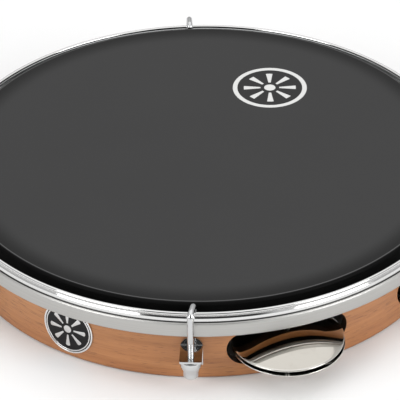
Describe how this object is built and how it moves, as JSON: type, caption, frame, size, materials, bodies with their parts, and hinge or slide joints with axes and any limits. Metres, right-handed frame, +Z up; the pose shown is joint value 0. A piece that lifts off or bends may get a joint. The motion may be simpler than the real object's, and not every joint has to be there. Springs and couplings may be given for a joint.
{
  "type": "tambourine",
  "caption": "Handheld frame drum with jingles: bent wooden shell, tunable dark film head, chrome counterhoop, hook tensioners and paired discs in oval windows.",
  "frame": {"origin": "centre of the shell's bottom edge, on the shell's axis, at the surface it rests on", "axes": "+Z up out of the playing surface; -Y towards the front tuning hook, the side the badge is beside; +X to the right"},
  "size_m": [0.2862, 0.2915, 0.0474],
  "materials": {
    "shell_wood": "satin",
    "head": "satin",
    "aluminium": "satin",
    "hoop_chrome": "polished",
    "badge_metal": "polished",
    "badge_enamel": "gloss",
    "steel": "satin",
    "jingle_metal": "polished",
    "hardware_chrome": "polished"
  },
  "bodies": {
    "frame": {"shell": "shell_wood", "head_film": "head", "flesh_hoop": "aluminium", "counterhoop": "hoop_chrome", "badge_plate": "badge_metal", "badge_inlay": "badge_enamel", "jingle_pins": "steel", "bracket_1": "hardware_chrome", "bracket_2": "hardware_chrome", "bracket_3": "hardware_chrome", "bracket_4": "hardware_chrome", "bracket_screws": "hardware_chrome", "bracket_washers": "steel", "bracket_nuts": "steel"},
    "jingle_1_lower": {"jingle_1_lower": "jingle_metal"},
    "jingle_1_upper": {"jingle_1_upper": "jingle_metal"},
    "jingle_2_lower": {"jingle_2_lower": "jingle_metal"},
    "jingle_2_upper": {"jingle_2_upper": "jingle_metal"},
    "jingle_3_lower": {"jingle_3_lower": "jingle_metal"},
    "jingle_3_upper": {"jingle_3_upper": "jingle_metal"},
    "jingle_4_lower": {"jingle_4_lower": "jingle_metal"},
    "jingle_4_upper": {"jingle_4_upper": "jingle_metal"},
    "jingle_5_lower": {"jingle_5_lower": "jingle_metal"},
    "jingle_5_upper": {"jingle_5_upper": "jingle_metal"},
    "jingle_6_lower": {"jingle_6_lower": "jingle_metal"},
    "jingle_6_upper": {"jingle_6_upper": "jingle_metal"},
    "jingle_7_lower": {"jingle_7_lower": "jingle_metal"},
    "jingle_7_upper": {"jingle_7_upper": "jingle_metal"},
    "hook_1": {"hook_1": "hardware_chrome"},
    "tuning_nut_1": {"tuning_nut_1": "hardware_chrome"},
    "hook_2": {"hook_2": "hardware_chrome"},
    "tuning_nut_2": {"tuning_nut_2": "hardware_chrome"},
    "hook_3": {"hook_3": "hardware_chrome"},
    "tuning_nut_3": {"tuning_nut_3": "hardware_chrome"},
    "hook_4": {"hook_4": "hardware_chrome"},
    "tuning_nut_4": {"tuning_nut_4": "hardware_chrome"}
  },
  "joints": [
    {"name": "jingle_1_lower_rattle", "type": "slide", "parent": "frame", "child": "jingle_1_lower", "axis": [0, 0, 1], "range_m": [0, 0.001]},
    {"name": "jingle_1_upper_rattle", "type": "slide", "parent": "jingle_1_lower", "child": "jingle_1_upper", "axis": [0, 0, 1], "range_m": [0, 0.001]},
    {"name": "jingle_2_lower_rattle", "type": "slide", "parent": "frame", "child": "jingle_2_lower", "axis": [0, 0, 1], "range_m": [0, 0.001]},
    {"name": "jingle_2_upper_rattle", "type": "slide", "parent": "jingle_2_lower", "child": "jingle_2_upper", "axis": [0, 0, 1], "range_m": [0, 0.001]},
    {"name": "jingle_3_lower_rattle", "type": "slide", "parent": "frame", "child": "jingle_3_lower", "axis": [0, 0, 1], "range_m": [0, 0.001]},
    {"name": "jingle_3_upper_rattle", "type": "slide", "parent": "jingle_3_lower", "child": "jingle_3_upper", "axis": [0, 0, 1], "range_m": [0, 0.001]},
    {"name": "jingle_4_lower_rattle", "type": "slide", "parent": "frame", "child": "jingle_4_lower", "axis": [0, 0, 1], "range_m": [0, 0.001]},
    {"name": "jingle_4_upper_rattle", "type": "slide", "parent": "jingle_4_lower", "child": "jingle_4_upper", "axis": [0, 0, 1], "range_m": [0, 0.001]},
    {"name": "jingle_5_lower_rattle", "type": "slide", "parent": "frame", "child": "jingle_5_lower", "axis": [0, 0, 1], "range_m": [0, 0.001]},
    {"name": "jingle_5_upper_rattle", "type": "slide", "parent": "jingle_5_lower", "child": "jingle_5_upper", "axis": [0, 0, 1], "range_m": [0, 0.001]},
    {"name": "jingle_6_lower_rattle", "type": "slide", "parent": "frame", "child": "jingle_6_lower", "axis": [0, 0, 1], "range_m": [0, 0.001]},
    {"name": "jingle_6_upper_rattle", "type": "slide", "parent": "jingle_6_lower", "child": "jingle_6_upper", "axis": [0, 0, 1], "range_m": [0, 0.001]},
    {"name": "jingle_7_lower_rattle", "type": "slide", "parent": "frame", "child": "jingle_7_lower", "axis": [0, 0, 1], "range_m": [0, 0.001]},
    {"name": "jingle_7_upper_rattle", "type": "slide", "parent": "jingle_7_lower", "child": "jingle_7_upper", "axis": [0, 0, 1], "range_m": [0, 0.001]},
    {"name": "tuning_nut_1_turn", "type": "hinge", "parent": "frame", "child": "tuning_nut_1", "pos_m": [-0.0065, -0.13775, 0.015], "axis": [0, 0, -1], "range_deg": [0, 1286.5]},
    {"name": "hook_1_lift", "type": "slide", "parent": "frame", "child": "hook_1", "axis": [0, 0, 1], "range_m": [0, 0.0025]},
    {"name": "tuning_nut_2_turn", "type": "hinge", "parent": "frame", "child": "tuning_nut_2", "pos_m": [0.1379, 0, 0.015], "axis": [0, 0, -1], "range_deg": [0, 1286.5]},
    {"name": "hook_2_lift", "type": "slide", "parent": "frame", "child": "hook_2", "axis": [0, 0, 1], "range_m": [0, 0.0025]},
    {"name": "tuning_nut_3_turn", "type": "hinge", "parent": "frame", "child": "tuning_nut_3", "pos_m": [-0.0065, 0.13775, 0.015], "axis": [0, 0, -1], "range_deg": [0, 1286.5]},
    {"name": "hook_3_lift", "type": "slide", "parent": "frame", "child": "hook_3", "axis": [0, 0, 1], "range_m": [0, 0.0025]},
    {"name": "tuning_nut_4_turn", "type": "hinge", "parent": "frame", "child": "tuning_nut_4", "pos_m": [-0.1379, 0, 0.015], "axis": [0, 0, -1], "range_deg": [0, 1286.5]},
    {"name": "hook_4_lift", "type": "slide", "parent": "frame", "child": "hook_4", "axis": [0, 0, 1], "range_m": [0, 0.0025]}
  ],
  "couplings": [
    {"joint": "tuning_nut_1_turn", "follows": "hook_1_lift", "rad_per_m": 8976},
    {"joint": "tuning_nut_2_turn", "follows": "hook_2_lift", "rad_per_m": 8976},
    {"joint": "tuning_nut_3_turn", "follows": "hook_3_lift", "rad_per_m": 8976},
    {"joint": "tuning_nut_4_turn", "follows": "hook_4_lift", "rad_per_m": 8976}
  ]
}
